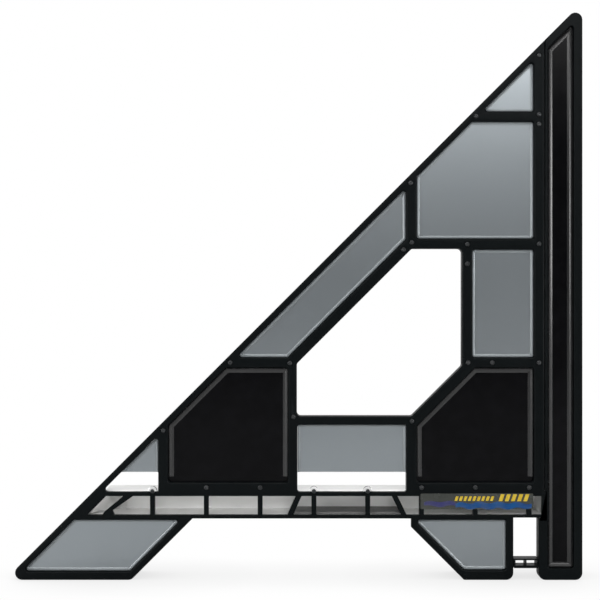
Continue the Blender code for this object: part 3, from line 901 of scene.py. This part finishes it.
@dataclass
class Panel:
    """A flat sheet in a window, with a filleted bezel that rises round it."""

    node: str
    sheet: Finish = PANE_GREY
    # The bezel's paler finish is a painted highlight round the sheet.
    trim: Finish = PANE_HIGHLIGHT_BEZEL
    kept: Kept = Kept.NONE
    lap: float = PANE_LAP
    rim_rise: float = 1.5 * MM
    rim_gap: float = 0.1 * MM
    rim_flat: float = 0.2 * MM
    fillet: float = 1.4 * MM
    back_round: float = 0.3 * MM
    drop: float = 4.0 * MM
    open_foot: bool = False

    def section(self, front: float) -> list[Station]:
        """The bezel's section, from its foot on the sheet over its crest and back behind it.

        Args:
            front: Depth of the sheet's face.

        Returns:
            Stations of (inset, depth).
        """
        root = front + self.rim_gap
        inner = self.rim_gap + self.rim_flat
        slope = [(inner + run, front - rise) for run, rise in quarter(self.fillet, self.rim_rise)]
        crest = front - self.rim_rise + self.rim_flat
        return [(inner + self.fillet, root), *slope, (self.rim_gap, crest), (self.rim_gap, root)]

    def window(self) -> Outline:
        """The outline of the window that the panel fills."""
        packed = read_outlines(self.node, Side.FRONT)[0]
        if self.kept is Kept.BOTTOM:
            return packed.inset(PANE_LAP, Kept.BOTTOM, self.drop).filleted(WINDOW_RADIUS)
        low, high = packed.span()
        middle = (low + high) / 2.0

        def distance(hole: Outline) -> float:
            """How far a hole's middle is from the panel's."""
            hole_low, hole_high = hole.span()
            return ((hole_low + hole_high) / 2.0 - middle).length

        return min(read_outlines("lattice_front", Side.FRONT)[1:], key=distance).turned()

    def build(self) -> None:
        """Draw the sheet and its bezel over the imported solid."""
        low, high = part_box(self.node)
        window = self.window()
        edge = -self.lap if self.lap > 0.0 else self.rim_gap
        sheet = Skin(self.node + "_sheet")
        stations = [(edge, low.y), (edge, high.y - self.back_round), (edge + self.back_round, high.y)]
        front, back = sheet.wall(window, stations, self.kept if self.kept is Kept.TOP else Kept.NONE)
        sheet.cap(front)
        sheet.cap(back)
        bezel = Skin(self.node + "_bezel")
        foot, root = bezel.wall(window, self.section(low.y))
        bmesh.ops.bridge_loops(bezel.body, edges=foot + root)
        if self.kept is Kept.BOTTOM:
            sheet.cut_below(low.z)
            bezel.cut_below(low.z)
        if self.open_foot:
            bezel.cut_below(low.z + self.lap + self.rim_gap + self.rim_flat + self.fillet)
        sheet.finish(self.sheet, self.node)
        bezel.finish(self.trim, self.node)


@dataclass
class GripPanel(Panel):
    """A black grip panel, whose wide bezel stops at the panel's foot."""

    sheet: Finish = POLISHED_BLACK
    trim: Finish = BLACK_BEZEL
    fillet: float = 2.6 * MM
    open_foot: bool = True


@dataclass
class ChannelStrip(Panel):
    """The strip that lines the guide rail's channel."""

    node: str = "rail_channel_strip"
    sheet: Finish = POLISHED_BLACK
    trim: Finish = BLACK_BEZEL
    lap: float = 0.0
    rim_rise: float = 1.9 * MM
    fillet: float = 2.5 * MM
    clearance: float = 0.3 * MM

    def window(self) -> Outline:
        """The outline of the channel's mouth, with some clearance."""
        return read_outlines("guide_rail", Side.FRONT)[1].turned().inset(self.clearance)


@dataclass
class GuideRail:
    """The saw's guide edge: a bar with a front channel, a gloss strip in it, and a deep foot."""

    edge_round: float = 0.75 * MM
    mouth_round: float = 0.5 * MM
    back_round: float = 0.5 * MM
    foot_round: float = 1.4 * MM
    bar_back: float = -4.0 * MM
    foot_overlap: float = 0.4 * MM
    floor_gap: float = 0.3 * MM

    def build(self) -> None:
        """Draw the bar, the foot and the strip."""
        low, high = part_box("guide_rail")
        _, strip_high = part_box("rail_channel_strip")
        outer, channel = read_outlines("guide_rail", Side.FRONT)
        bar = Skin("guide_rail_bar")
        edge = rounded_profile(low.y, self.bar_back, self.edge_round, self.back_round)
        front, back = bar.wall(outer, edge)
        mouth = [(run, low.y + fall) for run, fall in quarter(self.mouth_round, self.mouth_round)]
        mouth.append((0.0, strip_high.y + self.floor_gap))
        channel_front, channel_floor = bar.wall(channel, mouth)
        bar.cap(front + channel_front)
        bar.cap(channel_floor)
        bar.cap(back)
        bar.finish(SATIN_BLACK, "guide_rail")

        foot = Skin("guide_rail_foot")
        block = read_outlines("guide_rail", Side.BACK)[0]
        depths = (self.bar_back - self.foot_overlap, high.y)
        foot.plate(block, [], depths, (self.floor_gap, self.foot_round))
        foot.finish(SATIN_BLACK, "guide_rail")

        ChannelStrip().build()


@dataclass
class Fence:
    """The aluminium tray behind the ladder, with its end wedge and its dark liner."""

    tray_round: float = 0.35 * MM
    floor: float = 2.0 * MM
    floor_round: float = 0.4 * MM
    wedge_round: float = 0.5 * MM
    liner_pads: int = 22
    pad_margin: float = 0.18 * MM
    pad_sink: float = 0.16 * MM

    def build(self) -> None:
        """Draw the tray, the wedge and the liner."""
        self.build_tray()
        self.build_wedge()
        self.build_liner()

    def build_tray(self) -> None:
        """The folded tray, whose trough has a rounded floor."""
        low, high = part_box("fence_channel")
        outer, trough = read_outlines("fence_channel", Side.FRONT)
        skin = Skin("fence_tray")
        edge = rounded_profile(low.y, high.y, self.tray_round, self.tray_round)
        front, back = skin.wall(outer, edge)
        floor = high.y - self.floor
        corner = [(-fall, floor - run) for run, fall in quarter(self.floor_round, self.floor_round)]
        mouth, bottom = skin.wall(trough, [(0.0, low.y), *corner])
        skin.cap(front + mouth)
        skin.cap(bottom)
        skin.cap(back)
        skin.finish(BRUSHED_ALUMINIUM, "fence_channel")

    def build_wedge(self) -> None:
        """The end wedge, with softened edges."""
        skin = Skin("fence_wedge", merged_copy("fence_end_wedge"))
        body = skin.body
        bmesh.ops.dissolve_limit(body, angle_limit=FLAT_LIMIT, verts=body.verts, edges=body.edges)
        bmesh.ops.bevel(
            body,
            geom=body.edges,
            offset=self.wedge_round,
            offset_type="OFFSET",
            segments=3,
            profile=0.5,
            affect="EDGES",
            clamp_overlap=True,
            material=-1,
        )
        skin.finish(BRUSHED_ALUMINIUM, "fence_end_wedge")

    def build_liner(self) -> None:
        """The liner, a soft strip with a row of sunk pads on its upper face."""
        skin = Skin("fence_liner", merged_copy("fence_mid_liner"))
        body = skin.body
        bmesh.ops.dissolve_limit(body, angle_limit=FLAT_LIMIT, verts=body.verts, edges=body.edges)
        lengthwise = [edge for edge in body.edges if abs(edge.verts[0].co.x - edge.verts[1].co.x) > MM]
        bmesh.ops.subdivide_edges(body, edges=lengthwise, cuts=self.liner_pads - 1, use_grid_fill=True)
        pads = [face for face in body.faces if face.normal.z > 0.9]
        bmesh.ops.inset_individual(body, faces=pads, thickness=self.pad_margin, depth=-self.pad_sink)
        skin.finish(DARK_LINER, "fence_mid_liner")


@dataclass
class FootLink:
    """The small barred link between the right leg and the rail's foot."""

    bar_round: float = 0.16 * MM
    bar_thinning: float = 0.3 * MM

    def build(self) -> None:
        """Draw the link with rounded bars."""
        low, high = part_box("foot_link")
        outer, *windows = read_outlines("foot_link", Side.FRONT)
        skin = Skin("barred_foot_link")
        rounds = [(window.inset(self.bar_thinning), self.bar_round) for window in windows]
        skin.plate(outer, rounds, (low.y, high.y), (self.bar_round, self.bar_round))
        skin.finish(SATIN_BLACK, "foot_link")


@dataclass
class Label:
    """A printed film across the fence, with plain slanted bars and waves in place of any lettering."""

    film_back: float = 0.1 * MM
    ink: float = 0.06 * MM
    corner: float = 0.7 * MM
    film_rounds: Station = (0.1 * MM, 0.05 * MM)
    slant: float = 0.35
    bar_share: float = 0.62
    bar_radius: float = 0.24 * MM
    wave_steps: int = 60
    wave_lift: float = 0.16
    end_share: float = 0.6

    def place(self, across: float, up: float) -> Vector:
        """The (x, z) point at shares of the label's width and height."""
        low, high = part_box("label_plate")
        return Vector((low.x + (high.x - low.x) * across, low.z + (high.z - low.z) * up))

    def build(self) -> None:
        """Draw the film and its printed shapes."""
        low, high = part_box("label_plate")
        film = Skin("label_film")
        outer = Outline.slanted(self.place(0.0, 0.0), self.place(1.0, 1.0), 0.0, self.corner)
        film.plate(outer, [], (low.y + self.film_back, high.y), self.film_rounds)
        film.finish(LABEL_FILM, "label_plate")
        self.build_bars("label_small_bars", (0.3, 0.655), (0.53, 0.83), 9)
        self.build_bars("label_large_bars", (0.69, 0.965), (0.51, 0.96), 5)
        self.build_ribbon("label_blue_wave", BLUE_INK, (0.31, 0.985), (0.23, 0.4), 4.0)
        self.build_ribbon("label_violet_wave", VIOLET_INK, (0.03, 0.31), (0.34, 0.32), 1.5)

    def build_bars(self, name: str, across: Station, up: Station, count: int) -> None:
        """Draw a row of slanted bars.

        Args:
            name: The piece's name.
            across: The row's start and end, as shares of the label's width.
            up: Its bottom and top, as shares of the label's height.
            count: How many bars.
        """
        low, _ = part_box("label_plate")
        start, end = self.place(across[0], up[0]), self.place(across[1], up[1])
        pitch = (end.x - start.x) / count
        lean = (end.y - start.y) * self.slant
        face = low.y + self.film_back
        skin = Skin(name)
        for number in range(count):
            corner = start + Vector((pitch * number, 0.0))
            opposite = Vector((corner.x + pitch * self.bar_share, end.y))
            bar = Outline.slanted(corner, opposite, lean, self.bar_radius)
            skin.plate(bar, [], (face - self.ink, face), (self.ink / 2.0, 0.0))
        skin.finish(YELLOW_INK)

    def build_ribbon(
        self, name: str, finish: Finish, across: Station, band: Station, waves: float
    ) -> None:
        """Draw a wavy ribbon of ink.

        Args:
            name: The piece's name.
            finish: The ink.
            across: Its start and end, as shares of the label's width.
            band: Its middle and thickness, as shares of the label's height.
            waves: How many waves it makes.
        """
        low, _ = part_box("label_plate")
        start, end = self.place(across[0], band[0]), self.place(across[1], band[0])
        height = self.place(0.0, band[1]).y - self.place(0.0, 0.0).y
        skin = Skin(name)
        bmesh.ops.create_grid(skin.body, x_segments=self.wave_steps, y_segments=2, size=0.5)
        for vert in skin.body.verts:
            share = vert.co.x + 0.5
            swell = self.end_share + (1.0 - self.end_share) * math.sin(math.pi * share) ** 0.5
            lift = self.wave_lift * height * math.sin(2.0 * math.pi * waves * share)
            x = start.x + (end.x - start.x) * share
            vert.co = (x, low.y + self.film_back, start.y + lift + vert.co.y * height * swell)
        faces = skin.body.faces[:]
        made = bmesh.ops.extrude_face_region(skin.body, geom=faces, use_keep_orig=True)["geom"]
        front = [item for item in made if isinstance(item, bmesh.types.BMVert)]
        bmesh.ops.translate(skin.body, verts=front, vec=(0.0, -self.ink, 0.0))
        skin.finish(finish)


RIVET_DOME: tuple[Station, ...] = (
    (0.74, 0.62),
    (0.68, 0.86),
    (0.6, 1.0),
    (0.42, 0.96),
    (0.24, 0.8),
    (0.1, 0.5),
    (0.02, 0.2),
    (0.0, 0.0),
)


@dataclass
class Rivet:
    """A pin with a shallow domed head and a dimple. On a lug of the fence it has a plated cap."""

    node: str
    head: float = 1.25 * MM
    lug_head: float = 2.45 * MM
    lug_share: float = 0.45
    sink: float = 0.05 * MM
    sides: int = 24

    def turned(self, name: str, radius: float, rise: float) -> Skin:
        """Draw a head and its shank.

        Args:
            name: The piece's name.
            radius: The head's radius.
            rise: How far it stands in front of the lattice.

        Returns:
            The closed skin.
        """
        low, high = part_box(self.node)
        seat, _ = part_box("lattice_front")
        middle = Vector(((low.x + high.x) / 2.0, (low.z + high.z) / 2.0))
        turns = [2.0 * math.pi * side / self.sides for side in range(self.sides)]
        rim = Outline(
            tuple(middle + Vector((math.cos(turn), math.sin(turn))) * radius for turn in turns),
            (0.0,) * self.sides,
        )
        shank = max(radius - (high.x - low.x) / 2.0, 0.0)
        stations = [(radius * inward, seat.y - rise * height) for inward, height in RIVET_DOME]
        stations += [(shank, seat.y + self.sink), (shank, high.y)]
        skin = Skin(name)
        first, last = skin.wall(rim, stations)
        skin.cap(first)
        skin.cap(last)
        return skin

    def build(self) -> None:
        """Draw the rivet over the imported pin."""
        low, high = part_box(self.node)
        seat, seat_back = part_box("lattice_front")
        pin = self.turned(self.node + "_pin", self.head, seat.y - low.y)
        pin.finish(RIVET_STEEL, self.node)
        if high.y < seat_back.y + WELD_GAP:
            cap = self.turned(self.node + "_cap", self.lug_head, (seat.y - low.y) * self.lug_share)
            cap.cut_below(low.z + (high.z - low.z) * self.lug_share)
            cap.finish(LUG_STEEL, self.node)


# --- studio


@dataclass
class Studio:
    """A pale floor, a white surround, soft lights and the camera."""

    camera_place: Place = (0.75 * MM, -661.0 * MM, 156.1 * MM)
    lens: float = 70.0
    floor_size: float = 6.0
    behind: float = 0.95
    room: float = 0.02

    def build(self) -> None:
        """Set the scene up round the object."""
        bpy.context.scene.view_settings.view_transform = "Standard"
        self.build_camera()
        self.build_world()
        self.build_floor()
        self.light("high_softbox", (0.0, -1.5, 0.84), (0.0, 0.0, 0.25), (1.6, 0.45), 13.0)
        self.light("top_softbox", (0.0, -0.38, 0.8), (0.0, -0.28, 0.0), (0.9, 0.3), 2.5)
        self.light("back_softbox", (0.0, 0.6, 0.9), (0.0, 0.0, 0.05), (0.9, 0.4), 7.0)
        self.light("left_front_softbox", (-0.95, -0.95, 0.32), (0.0, 0.0, 0.08), (0.35, 0.35), 6.0)
        self.light("right_front_softbox", (0.95, -0.95, 0.32), (0.0, 0.0, 0.08), (0.35, 0.35), 5.0)
        self.light("left_softbox", (-0.75, -0.12, 0.2), (0.0, 0.0, 0.15), (0.2, 0.6), 1.1)
        self.light("right_softbox", (0.75, -0.12, 0.2), (0.0, 0.0, 0.15), (0.2, 0.6), 0.9)

    def build_camera(self) -> None:
        """A level camera square to the front."""
        data = bpy.data.cameras.new("camera")
        data.lens = self.lens
        camera = linked("camera", data)
        camera.location = self.camera_place
        camera.rotation_euler = (math.pi / 2.0, 0.0, 0.0)
        bpy.context.scene.camera = camera

    def build_world(self) -> None:
        """A white backdrop behind the object, and a dark room round the camera."""
        world = bpy.data.worlds.new("surround")
        world.use_nodes = True
        bpy.context.scene.world = world
        graph = Graph(world.node_tree)
        seen = graph.node("LightPath").outputs["Is Camera Ray"]
        direction = graph.node("SeparateXYZ", {0: graph.node("TexCoord").outputs["Generated"]})
        away = graph.ranged(direction.outputs["Y"], (0.0, 0.4), (0.0, self.behind))
        height = graph.calculated("ABSOLUTE", direction.outputs["Z"], 0.0)
        level = graph.ranged(height, (0.25, 0.5), (1.0, 0.0))
        backdrop = graph.calculated("MAXIMUM", graph.calculated("MULTIPLY", away, level), self.room)
        background = world.node_tree.nodes["Background"]
        strength = graph.calculated("MAXIMUM", seen, backdrop)
        world.node_tree.links.new(strength, background.inputs["Strength"])
        background.inputs["Color"].default_value = (1.0, 1.0, 1.0, 1.0)

    def build_floor(self) -> None:
        """A wide pale floor that glows evenly white to the camera; its only mark is a painted soft
        shadow, drawn from ambient occlusion, where the object stands.
        """
        body = bmesh.new()
        bmesh.ops.create_grid(body, x_segments=24, y_segments=24, size=self.floor_size / 2.0)
        mesh = bpy.data.meshes.new("floor")
        body.to_mesh(mesh)
        body.free()
        floor = linked("floor", mesh)
        material = bpy.data.materials.new("pale_floor")
        material.use_nodes = True
        graph = Graph(material.node_tree)
        shader = material.node_tree.nodes["Principled BSDF"]
        shader.inputs["Roughness"].default_value = 0.7
        shader.inputs["Base Color"].default_value = (0.8, 0.8, 0.8, 1.0)
        # Painted shadow: ambient occlusion dims the floor's camera-ray glow round the object's feet.
        shade = graph.node("AmbientOcclusion", {"Distance": 0.05}, samples=16).outputs["AO"]
        glow = graph.node("Emission", {"Strength": graph.ranged(shade, (0.0, 1.0), (0.72, 1.0))})
        seen = graph.node("LightPath").outputs["Is Camera Ray"]
        mixed = graph.node("MixShader", {0: seen, 1: shader.outputs[0], 2: glow.outputs[0]})
        output = material.node_tree.nodes["Material Output"]
        material.node_tree.links.new(mixed.outputs[0], output.inputs["Surface"])
        mesh.materials.append(material)

    def light(self, name: str, place: Place, aim: Place, size: Station, power: float) -> None:
        """Add a soft rectangular light.

        Args:
            name: The light's name.
            place: Where it stands.
            aim: The point that it faces.
            size: Its width and height.
            power: Its power in watts.
        """
        data = bpy.data.lights.new(name, "AREA")
        data.shape = "RECTANGLE"
        data.size, data.size_y = size
        data.energy = power
        lamp = linked(name, data)
        lamp.location = place
        lamp.rotation_euler = (Vector(aim) - Vector(place)).to_track_quat("-Z", "Y").to_euler()


def main() -> None:
    """Build every sub-assembly and the studio."""
    logging.basicConfig(level=logging.INFO, format="%(name)s: %(message)s")
    FrontLattice().build()
    BackMoulding().build()
    for name in ("apex", "upper", "side", "diagonal"):
        Panel("pane_" + name).build()
    for name in ("middle", "left_corner"):
        Panel("pane_" + name, kept=Kept.BOTTOM, lap=0.0).build()
    for side in ("left", "right"):
        Panel(f"pane_{side}_leg", kept=Kept.TOP).build()
        GripPanel(f"grip_panel_{side}").build()
        LegBase(f"{side}_leg_base", f"{side}_leg_base_moulding").build()
    GuideRail().build()
    Fence().build()
    FootLink().build()
    Label().build()
    for node in sorted(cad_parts):
        if "rivet" in node:
            Rivet(node).build()
    Studio().build()


if __name__ == "__main__":
    main()
